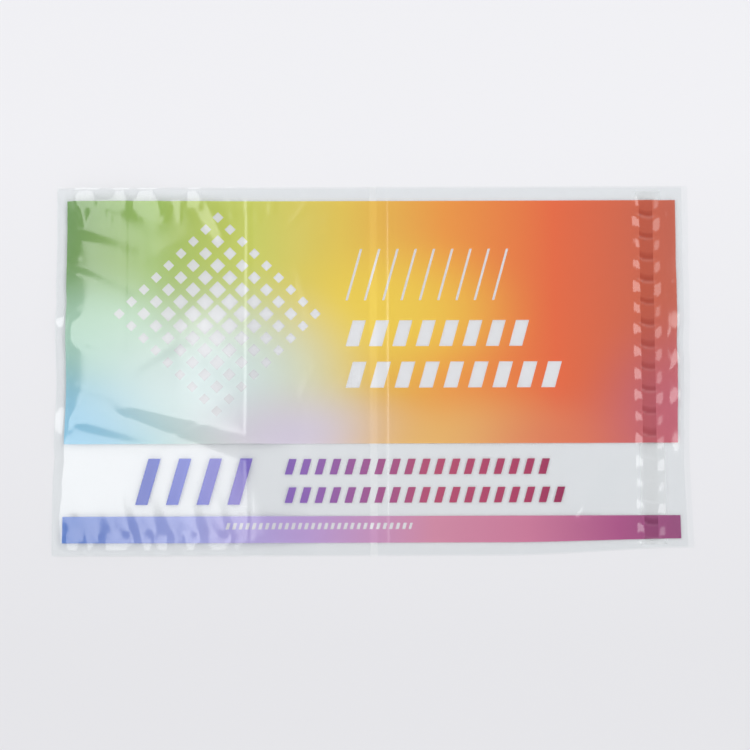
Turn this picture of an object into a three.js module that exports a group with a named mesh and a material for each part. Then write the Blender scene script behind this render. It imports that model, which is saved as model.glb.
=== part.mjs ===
import * as THREE from 'three';

// A self-seal bag of clear film, printed on its front and lying on its back, in millimetres with +Z up.
// X runs from the closed fold to the open mouth, Y across the bag, and Z = 0 is the surface it lies on.

// Film web, folded at the closed end and welded along both sides
const bagLength = 305;
const bagWidth = 178;
const filmWall = 0.05;
const weldWidth = 0.8;
const weldRise = 6; // how far in from a weld the front panel takes to lift off
const lipSetback = 3; // the front lip stops short of the back lip
const foldLoop = 0.3; // how far the loop of the fold stands out
const calmGap = 0.35; // air between the panels where nothing lifts the front one

// Seal tape between the panels: a band of adhesive on the back panel under a wider release liner
const tapeSetback = 13.2; // from the mouth to the liner's outer edge
const linerWidth = 12;
const linerWall = 0.05;
const adhesiveWidth = 6.5;
const adhesiveWall = 0.1;
const adhesiveInset = 1.5; // from the liner's inner edge to the adhesive
const layerClearance = 0.03;
const tapeRise = 1.4; // how far past the liner the film takes to come down
const tapeEndGap = 0.3;

// Puckers of the film and liner along the tape
const puckerPitch = 10.6;
const puckerHeight = 0.5;
const puckerArc = 2.2; // how far a pucker bows along the tape
const linerShare = 0.5; // part of the film's pucker that the liner takes

// Fold creases across the bag, measured from the closed end, with their heights
const creaseRun = 1;
const creases = [
  { fromFold: 32.3, height: 0.05 },
  { fromFold: 92.2, height: 0.1 },
  { fromFold: 160.6, height: 0.13 },
  { fromFold: 252, height: 0.05 },
];

// The front panel climbs from the fold and then sinks slowly: how high and how wide the climb is,
// each at places across the bag
const climbHeights = [
  { v: -89, value: 0.8 },
  { v: -45, value: 0.9 },
  { v: 0, value: 1.5 },
  { v: 45, value: 2.3 },
  { v: 89, value: 2.4 },
];
const climbWidths = [
  { v: -89, value: 4 },
  { v: -40, value: 4.5 },
  { v: -26, value: 6 },
  { v: -14, value: 10 },
  { v: -4, value: 13.5 },
  { v: 4, value: 13 },
  { v: 14, value: 6 },
  { v: 21, value: 7 },
  { v: 30, value: 15 },
  { v: 42, value: 17.5 },
  { v: 60, value: 18 },
  { v: 89, value: 20 },
];
const climbSink = 118;

// Ridges of the front panel from end to end, measured from the closed end and from the centre line, with
// the widths of the flanks to the left and right of that line and the height, each at the two ends
const buckles = [
  { from: [38, -18], to: [92, -30], left: [20, 30], right: [5, 16], height: [0.45, 1.3] },
  { from: [84, -40], to: [101, -75], left: [20, 20], right: [45, 45], height: [0.9, 0.9] },
  { from: [93, 12], to: [93, -26], left: [20, 20], right: [32, 32], height: [0.5, 0.5] },
  { from: [8, 47], to: [38, 35], left: [5, 3], right: [12, 8], height: [0.45, 0.2] },
  { from: [12, 62], to: [40, 56], left: [6, 4], right: [12, 8], height: [0.5, 0.2] },
  { from: [68, 90], to: [80, 66], left: [6, 4], right: [8, 5], height: [0.5, 0.2] },
  { from: [8.5, 90], to: [13, 71], left: [10, 2], right: [4, 1], height: [1.6, 0.25] },
  { from: [210, 24], to: [238, 44], left: [12, 14], right: [12, 14], height: [0.3, 0.4] },
];

// Gathers that run in from each weld near the closed end
const gathers = [
  { side: 1, pitch: 18, reach: 11, height: 0.8, run: 84, slant: -0.2 },
  { side: -1, pitch: 15.5, reach: 20, height: 1.2, run: 104, slant: 0.3 },
];

// Ripples of the loose film between the tape and the mouth
const lipLift = 0.9;
const lipRippleHeight = 0.45;
const lipRipplePitch = 23;

// Unevenness of the outline: the edge tucked in beside the mouth, and the dented fold and lip
const tuckDepth = 3.6;
const tuckRun = 92;
const tuckBand = 12;
const edgeDentReach = 14;
const foldDents = [
  { v: -10, depth: 1.1, spread: 20 },
  { v: 60, depth: 0.5, spread: 22 },
  { v: -43, depth: 0.8, spread: 5 },
  { v: 33, depth: 0.5, spread: 5 },
];
const lipDents = [
  { v: -40, depth: 1.6, spread: 34 },
  { v: 12, depth: 0.7, spread: 9 },
  { v: 52, depth: 0.4, spread: 7 },
];

// Print: one tall field and one narrow band, set in from the fold, the mouth and the welded edges
const printFoldMargin = 4.8;
const printMouthMargin = 6.2;
const fieldTopMargin = 7;
const fieldHeight = 117.5;
const bandBottomMargin = 6.4;
const bandHeight = 12.6;

// Spacing of the mesh along and across the bag where it is crumpled, calm or taped
const crumpledReach = 100;
const meshSteps = {
  crumpled: { along: 4.2, across: 4.4 },
  calm: { along: 9, across: 10 },
  taped: { along: 3.4, across: 2.65 },
};

const foldU = -bagLength / 2 + foldLoop;
const mouthU = bagLength / 2;
const lipU = mouthU - lipSetback;
const edgeV = bagWidth / 2;
const innerV = edgeV - weldWidth;
const linerFarU = mouthU - tapeSetback;
const linerNearU = linerFarU - linerWidth;
const adhesiveNearU = linerNearU + adhesiveInset;
const tapeEndV = innerV - tapeRise - tapeEndGap;
const adhesiveZ = filmWall + layerClearance;
const linerZ = adhesiveZ + adhesiveWall + layerClearance;
const tapeStack = linerZ + linerWall + layerClearance - filmWall;
const fieldTopV = edgeV - fieldTopMargin;
const fieldBottomV = fieldTopV - fieldHeight;
const bandBottomV = -edgeV + bandBottomMargin;
const bandTopV = bandBottomV + bandHeight;

const clamp = THREE.MathUtils.clamp;
const lerp = THREE.MathUtils.lerp;
const smoothstep = THREE.MathUtils.smoothstep;
const bell = (offset, spread) => Math.exp(-((offset / spread) ** 2));

// A value given at places across the bag, with level steps between them
function easedAt(v, table) {
  const next = Math.max(1, table.findIndex((stop) => stop.v >= v));
  const [low, high] = [table[next - 1], table[next]];
  return lerp(low.value, high.value, smoothstep(v, low.v, high.v));
}

function climbHeight(u, v) {
  const past = u - foldU;
  const part = Math.min(1, past / (1.1 * easedAt(v, climbWidths)));
  const rise = easedAt(v, climbHeights) * (1 - (1 - part) ** 1.35);
  return rise * (1 - smoothstep(past, 8, climbSink));
}

// Height of one ridge, whose two flanks fall evenly from its crest
function ridgeHeight(u, v, ridge) {
  const [startU, startV] = [foldU + ridge.from[0], ridge.from[1]];
  const [runU, runV] = [ridge.to[0] - ridge.from[0], ridge.to[1] - ridge.from[1]];
  const along = clamp(((u - startU) * runU + (v - startV) * runV) / (runU ** 2 + runV ** 2), 0, 1);
  const [offU, offV] = [u - startU - along * runU, v - startV - along * runV];
  const away = Math.hypot(offU, offV) + 1e-9;
  const turned = 0.5 + (0.5 * (runU * offV - runV * offU)) / (Math.hypot(runU, runV) * away);
  const width = lerp(lerp(...ridge.right, along), lerp(...ridge.left, along), turned);
  const part = away / width;
  const crest = Math.max(0, 1.05 - Math.sqrt(part ** 2 + 0.0025));
  return lerp(...ridge.height, along) * crest * (1 - 0.3 * smoothstep(part, 0.7, 1.05));
}

function gatherHeight(u, v, gather) {
  const fromWeld = innerV - gather.side * v;
  const turns = (u - foldU + gather.slant * fromWeld) / gather.pitch;
  const uneven = 0.12 * Math.sin(turns * 2.3);
  const wave = 0.5 - 0.5 * Math.cos(2 * Math.PI * (turns + uneven));
  const fade = 1 - smoothstep(u - foldU, gather.run * 0.6, gather.run);
  return gather.height * wave * fade * bell(fromWeld, gather.reach);
}

// How far into the taped strip a place lies: 1 over the liner and 0 beyond the rise beside it
function overTape(u) {
  const outside = Math.max(linerNearU - u, u - linerFarU, 0);
  return 1 - smoothstep(outside, 0, tapeRise);
}

function puckerAt(u, v) {
  const across = (2 * u - linerNearU - linerFarU) / linerWidth;
  const turns = (v + puckerArc * Math.min(1, across ** 2)) / puckerPitch;
  return puckerHeight * (0.5 + 0.5 * Math.cos(2 * Math.PI * turns));
}

function lipHeight(u, v) {
  const out = smoothstep(u, linerFarU + tapeRise, lipU);
  const wave = Math.sin((2 * Math.PI * v) / lipRipplePitch + 1.4 * Math.sin(v / 17));
  return out * (lipLift + lipRippleHeight * wave) * (0.6 + 0.4 * Math.cos(v / 31));
}

// Air gap under the front panel
function gapAt(u, v) {
  const fromWeld = innerV - Math.abs(v);
  if (fromWeld <= 1e-9) return 0;
  const calmWave = 0.1 * Math.sin(u / 23 + v / 31) + 0.035 * Math.sin(u / 11 - v / 17 + 1.3);
  let loose = calmGap + calmWave + lipHeight(u, v) + climbHeight(u, v);
  for (const { fromFold, height } of creases) {
    loose += height * Math.max(0, 1 - Math.abs(u - foldU - fromFold) / creaseRun);
  }
  for (const buckle of buckles) loose += ridgeHeight(u, v, buckle);
  for (const gather of gathers) loose += gatherHeight(u, v, gather);
  loose *= 1 - (1 - Math.min(1, fromWeld / weldRise)) ** 2;
  const held = (tapeStack + puckerAt(u, v)) * Math.min(1, fromWeld / tapeRise);
  return lerp(loose, held, overTape(u));
}

// Where a place on the flat web lies once the edges are tucked and dented
function outline(u, v) {
  const tuck = smoothstep(u, mouthU - tuckRun, mouthU) * smoothstep(-v, edgeV - tuckBand, edgeV);
  const atFold = 1 - smoothstep(u - foldU, 0, edgeDentReach);
  const atLip = 1 - smoothstep(mouthU - u, 0, edgeDentReach);
  const dent = (dents) => dents.reduce((sum, d) => sum + d.depth * bell(v - d.v, d.spread), 0);
  return [u + atFold * dent(foldDents) - atLip * dent(lipDents), v + tuck * tuckDepth];
}

// Ink: a run of hues along the bag, washed over by soft patches of other colours
const clearFilm = new THREE.Color('#dfe3e6');
const hues = [
  { at: 0, colour: new THREE.Color('#5f9a55') },
  { at: 0.2, colour: new THREE.Color('#9cc35a') },
  { at: 0.42, colour: new THREE.Color('#e3d340') },
  { at: 0.62, colour: new THREE.Color('#eb9a3f') },
  { at: 0.8, colour: new THREE.Color('#df5f3d') },
  { at: 1, colour: new THREE.Color('#b2453f') },
];
const washes = [
  { from: [4, -34], reach: [70, 52], colour: new THREE.Color('#7fb4dc'), strength: 1 },
  { from: [88, -28], reach: [52, 46], colour: new THREE.Color('#d5d2e0'), strength: 0.95 },
  { from: [300, -36], reach: [46, 70], colour: new THREE.Color('#a8426a'), strength: 0.7 },
];
const bandHues = [
  { at: 0, colour: new THREE.Color('#4a6fc0') },
  { at: 0.35, colour: new THREE.Color('#9a8ecb') },
  { at: 0.62, colour: new THREE.Color('#cf6a86') },
  { at: 0.8, colour: new THREE.Color('#b24a86') },
  { at: 1, colour: new THREE.Color('#8a4577') },
];

function hueAt(stops, share) {
  const next = Math.max(1, stops.findIndex((stop) => stop.at >= share));
  const [low, high] = [stops[next - 1], stops[next]];
  const part = clamp((share - low.at) / (high.at - low.at), 0, 1);
  return low.colour.clone().lerp(high.colour, part);
}

function inkAt(u, v) {
  const [startU, endU] = [foldU + printFoldMargin, mouthU - printMouthMargin];
  if (u < startU || u > endU) return clearFilm;
  const share = (u - startU) / (endU - startU);
  if (v > bandBottomV && v < bandTopV) return hueAt(bandHues, share);
  if (v < fieldBottomV || v > fieldTopV) return clearFilm;
  const colour = hueAt(hues, share);
  for (const wash of washes) {
    const near = bell((u - foldU - wash.from[0]) / wash.reach[0], 1) * bell((v - wash.from[1]) / wash.reach[1], 1);
    colour.lerp(wash.colour, wash.strength * near);
  }
  return colour;
}

// Collects triangles, each with its own colour, and turns them into a geometry
class Skin {
  constructor(colourAt) {
    this.colourAt = colourAt;
    this.positions = [];
    this.colours = [];
  }

  triangle(a, b, c) {
    const spots = [a, b, c].map((p) => [...outline(p.u, p.v), p.z]);
    const same = (p, q) => Math.hypot(p[0] - q[0], p[1] - q[1], p[2] - q[2]) < 1e-6;
    if (same(spots[0], spots[1]) || same(spots[1], spots[2]) || same(spots[2], spots[0])) return;
    const colour = this.colourAt((a.u + b.u + c.u) / 3, (a.v + b.v + c.v) / 3, (a.z + b.z + c.z) / 3);
    for (const spot of spots) {
      this.positions.push(...spot);
      this.colours.push(colour.r, colour.g, colour.b);
    }
  }

  // Fills between two rows of points that run the same way, whatever number each holds
  strip(first, second, key, turned = false) {
    const place = (a, b, c) => (turned ? this.triangle(a, c, b) : this.triangle(a, b, c));
    let [i, j] = [0, 0];
    while (i < first.length - 1 || j < second.length - 1) {
      const firstNext = i < first.length - 1 ? first[i + 1][key] : Infinity;
      const secondNext = j < second.length - 1 ? second[j + 1][key] : Infinity;
      if (firstNext <= secondNext) {
        place(first[i], second[j], first[i + 1]);
        i += 1;
      } else {
        place(first[i], second[j], second[j + 1]);
        j += 1;
      }
    }
  }

  // A surface through rows that follow each other along the bag, facing up or down
  sheet(rows, facing) {
    for (let k = 1; k < rows.length; k += 1) this.strip(rows[k - 1], rows[k], 'v', facing < 0);
  }

  geometry() {
    const geometry = new THREE.BufferGeometry();
    geometry.setAttribute('position', new THREE.Float32BufferAttribute(this.positions, 3));
    geometry.setAttribute('color', new THREE.Float32BufferAttribute(this.colours, 3));
    geometry.computeVertexNormals();
    return geometry;
  }
}

// Values from the first border to the last, evenly spread between each border and the next
function spread(borders, stepAt) {
  const values = [borders[0]];
  for (let k = 1; k < borders.length; k += 1) {
    const [low, high] = [borders[k - 1], borders[k]];
    const count = Math.max(1, Math.round((high - low) / stepAt((low + high) / 2)));
    for (let n = 1; n <= count; n += 1) values.push(lerp(low, high, n / count));
  }
  return values;
}

const inOrder = (values) => [...new Set(values)].sort((a, b) => a - b);

function meshStepAt(u) {
  if (u > linerNearU - tapeRise) return meshSteps.taped;
  return u < foldU + crumpledReach ? meshSteps.crumpled : meshSteps.calm;
}

function stationsAlong() {
  const tape = [linerNearU - tapeRise, linerNearU, linerFarU, linerFarU + tapeRise];
  const folds = creases.flatMap(({ fromFold }) => [-creaseRun, 0, creaseRun].map((d) => foldU + fromFold + d));
  const print = [foldU + printFoldMargin, mouthU - printMouthMargin];
  const inside = [...tape, ...folds, ...print].filter((u) => u > foldU && u < lipU);
  return spread(inOrder([foldU, ...inside, lipU]), (u) => meshStepAt(u).along);
}

function stationsAcross(u, limit) {
  const welds = [innerV, innerV - tapeRise].flatMap((v) => [v, -v]);
  const print = [fieldTopV, fieldBottomV, bandTopV, bandBottomV];
  const inside = [...welds, ...print].filter((v) => Math.abs(v) < limit);
  return spread(inOrder([-limit, ...inside, limit]), () => meshStepAt(u).across);
}

const rowOf = (u, stations, heightAt) => stations.map((v) => ({ u, v, z: heightAt(u, v) }));

// The whole film web as one solid: both panels, the fold, the two welds and the open lips
function filmGeometry() {
  const skin = new Skin((u, v, z) => (z > 1.5 * filmWall ? inkAt(u, v) : clearFilm));
  const along = stationsAlong();
  const frontTop = (u, v) => 2 * filmWall + gapAt(u, v);
  const frontUnder = (u, v) => filmWall + gapAt(u, v);
  const level = (z) => () => z;
  const outerEnds = [-edgeV, edgeV];
  const innerEnds = [-innerV, innerV];

  const top = along.map((u) => rowOf(u, stationsAcross(u, edgeV), frontTop));
  const under = along.map((u) => rowOf(u, stationsAcross(u, innerV), frontUnder));
  skin.sheet(top, 1);
  skin.sheet(under, -1);

  const mouthStations = stationsAcross(mouthU, edgeV);
  const backInside = along.map((u, k) => rowOf(u, k === 0 ? under[0].map((p) => p.v) : innerEnds, level(filmWall)));
  const backLip = [
    rowOf(lipU, [-edgeV, ...innerEnds, edgeV], level(filmWall)),
    rowOf(mouthU, mouthStations, level(filmWall)),
  ];
  skin.sheet(backInside, 1);
  skin.sheet(backLip, 1);

  const underside = [
    ...along.map((u, k) => rowOf(u, k === 0 ? top[0].map((p) => p.v) : outerEnds, level(0))),
    rowOf(mouthU, mouthStations, level(0)),
  ];
  skin.sheet(underside, -1);

  const loopOut = top[0].map((p) => ({ ...p, u: foldU - foldLoop, z: p.z / 2 }));
  skin.strip(loopOut, top[0], 'v');
  skin.strip(underside[0], loopOut, 'v');
  const loopIn = under[0].map((p) => {
    const open = Math.min(1, (p.z - filmWall) / (2 * filmWall));
    return { ...p, u: foldU - open * (foldLoop - filmWall), z: (p.z + filmWall) / 2 };
  });
  skin.strip(under[0], loopIn, 'v');
  skin.strip(loopIn, backInside[0], 'v');

  const lipTop = top[top.length - 1];
  const lipUnder = [backLip[0][0], ...under[under.length - 1], backLip[0][3]];
  skin.strip(lipTop, lipUnder, 'v');
  skin.strip(backLip[1], underside[underside.length - 1], 'v');

  const endsOf = (rows, side) => rows.map((row) => row.at(side));
  for (const side of [0, -1]) {
    const upper = endsOf(top, side);
    const lower = endsOf(underside, side);
    const lip = endsOf(backLip, side);
    const loop = loopOut.at(side);
    const turned = side === -1;
    skin.strip([...upper, lip[0]], lower.slice(0, -1), 'u', turned);
    skin.strip(lip, lower.slice(-2), 'u', turned);
    skin.strip([loop, upper[0]], [loop, lower[0]], 'u', turned);
  }
  return skin.geometry();
}

// A strip of even thickness over the stations given, following a height of its own
function stripGeometry(along, wall, underAt) {
  const skin = new Skin(() => new THREE.Color('white'));
  const stations = stationsAcross(linerNearU, tapeEndV);
  const top = along.map((u) => rowOf(u, stations, (x, y) => underAt(x, y) + wall));
  const under = along.map((u) => rowOf(u, stations, underAt));
  skin.sheet(top, 1);
  skin.sheet(under, -1);
  skin.strip(under[0], top[0], 'v');
  skin.strip(top.at(-1), under.at(-1), 'v');
  skin.strip(top.map((row) => row[0]), under.map((row) => row[0]), 'u');
  skin.strip(under.map((row) => row.at(-1)), top.map((row) => row.at(-1)), 'u');
  return skin.geometry();
}

function named(name, geometry, material) {
  const mesh = new THREE.Mesh(geometry, material);
  mesh.name = name;
  return mesh;
}

const filmMaterial = new THREE.MeshStandardMaterial({
  vertexColors: true,
  roughness: 0.12,
  metalness: 0,
  transparent: true,
  opacity: 0.75,
});
const adhesiveMaterial = new THREE.MeshStandardMaterial({
  color: '#e9e6dc',
  roughness: 0.3,
  metalness: 0,
  transparent: true,
  opacity: 0.6,
});
const linerMaterial = new THREE.MeshStandardMaterial({
  color: '#eef0f1',
  roughness: 0.25,
  metalness: 0,
  transparent: true,
  opacity: 0.5,
});

const linerStations = stationsAlong().filter((u) => u >= linerNearU && u <= linerFarU);
const adhesiveStations = [adhesiveNearU, adhesiveNearU + adhesiveWidth];

const bag = new THREE.Group();
bag.add(named('bag_film', filmGeometry(), filmMaterial));
bag.add(named('adhesive_strip', stripGeometry(adhesiveStations, adhesiveWall, () => adhesiveZ), adhesiveMaterial));
bag.add(
  named(
    'release_liner',
    stripGeometry(linerStations, linerWall, (u, v) => linerZ + linerShare * puckerAt(u, v)),
    linerMaterial,
  ),
);

export default bag;
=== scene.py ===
import math

import bpy
import numpy as np
from mathutils import Matrix, Vector


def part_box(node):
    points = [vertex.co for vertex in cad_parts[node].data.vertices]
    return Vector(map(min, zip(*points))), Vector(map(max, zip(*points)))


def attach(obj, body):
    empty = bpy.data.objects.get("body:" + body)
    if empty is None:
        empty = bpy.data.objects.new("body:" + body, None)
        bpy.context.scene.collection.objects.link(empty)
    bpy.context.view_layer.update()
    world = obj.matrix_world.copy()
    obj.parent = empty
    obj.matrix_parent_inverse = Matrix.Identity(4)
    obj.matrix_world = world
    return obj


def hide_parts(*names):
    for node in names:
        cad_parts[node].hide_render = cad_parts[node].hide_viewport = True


# A flat bag of clear film with a printed front, dressed around its CAD solids.
# Lengths are in millimetres until a mesh is made. u runs along the flat web from the fold to the mouth,
# v across it, and both are also the bag's X and Y before its edges are tucked and dented.

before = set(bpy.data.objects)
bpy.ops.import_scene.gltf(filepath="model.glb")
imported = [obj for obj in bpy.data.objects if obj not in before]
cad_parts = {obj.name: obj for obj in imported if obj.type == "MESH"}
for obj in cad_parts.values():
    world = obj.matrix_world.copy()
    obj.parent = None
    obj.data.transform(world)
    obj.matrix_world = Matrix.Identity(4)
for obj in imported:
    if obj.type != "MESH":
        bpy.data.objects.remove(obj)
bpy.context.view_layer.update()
print("frame loaded:", sorted(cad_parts))

mm = 0.001


def linear(code):  # sRGB hex to linear RGBA
    parts = [int(code[k:k + 2], 16) / 255 for k in (1, 3, 5)]
    return tuple(p / 12.92 if p <= 0.04045 else ((p + 0.055) / 1.055) ** 2.4 for p in parts) + (1.0,)


def add(tree, kind, inputs=None, **settings):  # adds a node and gives its first output
    made = tree.nodes.new(kind)
    for name, value in settings.items():
        setattr(made, name, value)
    for name, value in (inputs or {}).items():
        if isinstance(value, bpy.types.NodeSocket):
            tree.links.new(value, made.inputs[name])
        else:
            made.inputs[name].default_value = value
    return made.outputs[0] if made.outputs else made


def smoothstep(x, low, high):
    part = np.clip((x - low) / (high - low), 0, 1)
    return part * part * (3 - 2 * part)


def bell(offset, spread):
    return np.exp(-((offset / spread) ** 2))


# The film and the tape, as the CAD model has them
filmLow, filmHigh = (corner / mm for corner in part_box("bag_film"))
film = {
    "length": round(filmHigh.x - filmLow.x, 1),
    "width": round(filmHigh.y - filmLow.y, 1),
    "wall": 0.05,
    "weldWidth": 0.8,
    "weldRise": 6,  # how far from a weld the front panel comes up to its full height
    "lipSetback": 3,
    "foldLoop": 0.3,
    "calmGap": 0.35,
    "tuck": {"depth": 3.6, "run": 92, "band": 12},
    "dentReach": 14,
    "foldDents": [(-10, 1.1, 20), (60, 0.5, 22), (-43, 0.8, 5), (33, 0.5, 5)],  # place, depth, spread
    "lipDents": [(-40, 1.6, 34), (12, 0.7, 9), (52, 0.4, 7)],
}
tape = {
    "setback": 13.2,
    "linerWidth": 12,
    "linerWall": 0.05,
    "adhesiveWidth": 6.5,
    "adhesiveWall": 0.1,
    "adhesiveInset": 1.5,
    "clearance": 0.03,
    "rise": 1.4,
    "endGap": 0.3,
    "flank": 3.4,  # how far outside the liner the film comes down to it
}
foldU = -film["length"] / 2 + film["foldLoop"]
mouthU = film["length"] / 2
lipU = mouthU - film["lipSetback"]
edgeV = film["width"] / 2
innerV = edgeV - film["weldWidth"]
linerFarU = mouthU - tape["setback"]
linerNearU = linerFarU - tape["linerWidth"]
linerMiddleU = (linerNearU + linerFarU) / 2
adhesiveNearU = linerNearU + tape["adhesiveInset"]
adhesiveFarU = adhesiveNearU + tape["adhesiveWidth"]
tapeEndV = innerV - tape["rise"] - tape["endGap"]
adhesiveZ = film["wall"] + tape["clearance"]
linerZ = adhesiveZ + tape["adhesiveWall"] + tape["clearance"]
tapeStack = linerZ + tape["linerWall"] + tape["clearance"] - film["wall"]

creases = {  # folds pressed across the bag
    "run": 1.0,
    # how far from the closed end, and how high
    "lines": [(31.3, 0.03), (33.3, 0.03), (92.2, 0.1), (160.6, 0.13), (252, 0.03)],
}

# The front panel climbs steeply from the fold and then sinks slowly
climb = {  # how high and how wide the climb is, each at places across the bag
    "heights": [(-89, 0.8), (-45, 0.9), (-4, 1.9), (20, 1.9), (45, 2.3), (89, 2.4)],
    "widths": [(-89, 4), (-40, 4.5), (-26, 6), (-14, 12), (-4, 16.5), (5, 16), (15, 7), (21, 7), (30, 15), (42, 17.5),
               (60, 18), (89, 20)],
    "reach": 1.1,  # of its width
    "curve": 1.35,
    "sink": (8, 118),
}

# Ridges of the front panel. Each has its two ends, from the closed end and the centre line, then the widths
# of its left flank and of its right flank at those ends, and the heights there
buckles = [
    ((38, -18), (92, -30), (20, 30), (5, 13.5), (0.5, 1.4)),
    ((94, -52), (102, -77), (20, 20), (42, 42), (1.0, 1.0)),
    ((93, 12), (93, -26), (20, 20), (32, 32), (0.5, 0.5)),
    ((8, 47), (38, 35), (5, 3), (12, 8), (0.45, 0.02)),
    ((12, 62), (40, 56), (6, 4), (12, 8), (0.5, 0.02)),
    ((68, 90), (80, 66), (6, 4), (8, 5), (0.5, 0.2)),
    ((8.5, 90), (13, 71), (10, 2), (4, 1), (1.6, 0.25)),
    ((210, 24), (238, 44), (12, 14), (12, 14), (0.3, 0.4)),
]
# Narrower ones, finer than the CAD model has them
pleats = [
    ((27, 75), (46, 70.5), (3.5, 3), (8, 8), (0.3, 0.03)),
    ((46, 81), (62, 75), (4, 3), (8, 8), (0.35, 0.03)),
    ((16, -26), (46, -34), (10, 8), (3, 3), (0.3, 0.03)),
    ((15, 13), (34, 8), (8, 6), (2.5, 2), (0.25, 0.02)),
    ((251, -70), (266, -50), (3, 2), (6, 4), (0.6, 0.3)),
]
# The section that all of them share, by width: where it ends, how round its top is, and where and how much it
# sags before its end
ridge = {"foot": 1.05, "tip": 0.0025, "shoulder": 0.7, "hollow": 0.3}
gathers = {
    "drift": (0.12, 2.3),  # how much the pitch wanders, and how fast
    "fade": 0.6,  # of the run
    "sides": [
        {"side": 1, "pitch": 18, "reach": 11, "height": 0.8, "run": 84, "slant": -0.2},
        {"side": -1, "pitch": 15.5, "reach": 20, "height": 0.65, "run": 104, "slant": 0.3},
    ],
}


def ridgeHeight(u, v, start, end, leftWidths, rightWidths, heights):
    startU = foldU + start[0]
    runU, runV = end[0] - start[0], end[1] - start[1]
    along = np.clip(((u - startU) * runU + (v - start[1]) * runV) / (runU ** 2 + runV ** 2), 0, 1)
    offU, offV = u - startU - along * runU, v - start[1] - along * runV
    away = np.hypot(offU, offV) + 1e-9
    turned = 0.5 + 0.5 * (runU * offV - runV * offU) / (math.hypot(runU, runV) * away)
    left = leftWidths[0] + (leftWidths[1] - leftWidths[0]) * along
    right = rightWidths[0] + (rightWidths[1] - rightWidths[0]) * along
    height = heights[0] + (heights[1] - heights[0]) * along
    part = away / (right + (left - right) * turned)
    slope = np.maximum(0, ridge["foot"] - np.sqrt(part ** 2 + ridge["tip"]))
    return height * slope * (1 - smoothstep(part, ridge["shoulder"], ridge["foot"]) * ridge["hollow"])


def gatherHeight(u, v, gather):
    fromWeld = innerV - gather["side"] * v
    turns = (u - foldU + gather["slant"] * fromWeld) / gather["pitch"]
    far, pace = gathers["drift"]
    wave = 0.5 - 0.5 * np.cos(2 * np.pi * (turns + far * np.sin(turns * pace)))
    fade = 1 - smoothstep(u - foldU, gather["run"] * gathers["fade"], gather["run"])
    return gather["height"] * wave * fade * bell(fromWeld, gather["reach"])


def eased(v, table):  # a value given at places across the bag, and eased from each to the next
    places, values = np.array(table).T
    low = np.clip(np.searchsorted(places, v) - 1, 0, len(places) - 2)
    return values[low] + (values[low + 1] - values[low]) * smoothstep(v, places[low], places[low + 1])


def climbHeight(u, v):
    past = u - foldU
    part = np.minimum(1, past / (climb["reach"] * eased(v, climb["widths"])))
    rise = eased(v, climb["heights"]) * (1 - (1 - part) ** climb["curve"])
    return rise * (1 - smoothstep(past, *climb["sink"]))


# Puckers of the film over the tape, which follow each other across the bag
puckers = {
    "pitch": 10.6,
    "height": 1.0,
    "arc": 2.2,  # how far the two ends lie behind the middle
    "rise": (0.1, 0.45),  # of the pitch: each rises slowly and drops off sharply
    "drop": (0.88, 1.0),
    "unevenRise": (0.1, 1.7),  # how much it varies, and how fast from one pucker to the next
    "unevenHeight": (0.12, 2.4),
    "nearFlank": (2.4, 1.5),  # how far outside and inside the liner's near edge they come up
    "farFlank": (1.5, 1.2),  # how far inside the adhesive's and outside the liner's far edge they sink
    "linerShare": 0.06,  # of their height, for the liner
    "linerPhase": -0.62,  # of a turn, from the start of a pucker to the liner's crest
}


def puckerShare(u, v):
    across = (u - linerMiddleU) / (tape["linerWidth"] / 2)
    turns = (v - puckers["arc"] * np.minimum(1, across ** 2)) / puckers["pitch"]
    number = np.floor(turns)
    part = turns - number
    riseStart, riseEnd = puckers["rise"]
    later, risePace = puckers["unevenRise"]
    lower, heightPace = puckers["unevenHeight"]
    rise = smoothstep(part, riseStart, riseEnd + later * np.sin(number * risePace))
    return (1 - lower + lower * np.sin(number * heightPace)) * rise * (1 - smoothstep(part, *puckers["drop"]))


def puckerHeight(u, v):
    nearFlank = np.clip((u - linerNearU + puckers["nearFlank"][0]) / sum(puckers["nearFlank"]), 0, 1)
    farFlank = 1 - smoothstep(u, adhesiveFarU - puckers["farFlank"][0], linerFarU + puckers["farFlank"][1])
    return puckers["height"] * puckerShare(u, v) * nearFlank * farFlank


lip = {  # stands up a little along the mouth
    "lift": 0.9,
    "rippleHeight": 0.45,
    "ripplePitch": 23,
    "drift": (1.4, 17),  # how far the ripples wander, and over what length
    "swell": (0.6, 0.4, 31),  # share of the height that is even, share that varies, and over what length
}


def lipHeight(u, v):
    out = smoothstep(u, linerFarU + tape["rise"], lipU)
    drift, driftLength = lip["drift"]
    even, swell, swellLength = lip["swell"]
    wave = np.sin(2 * np.pi * v / lip["ripplePitch"] + drift * np.sin(v / driftLength))
    return out * (lip["lift"] + lip["rippleHeight"] * wave) * (even + swell * np.cos(v / swellLength))


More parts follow.
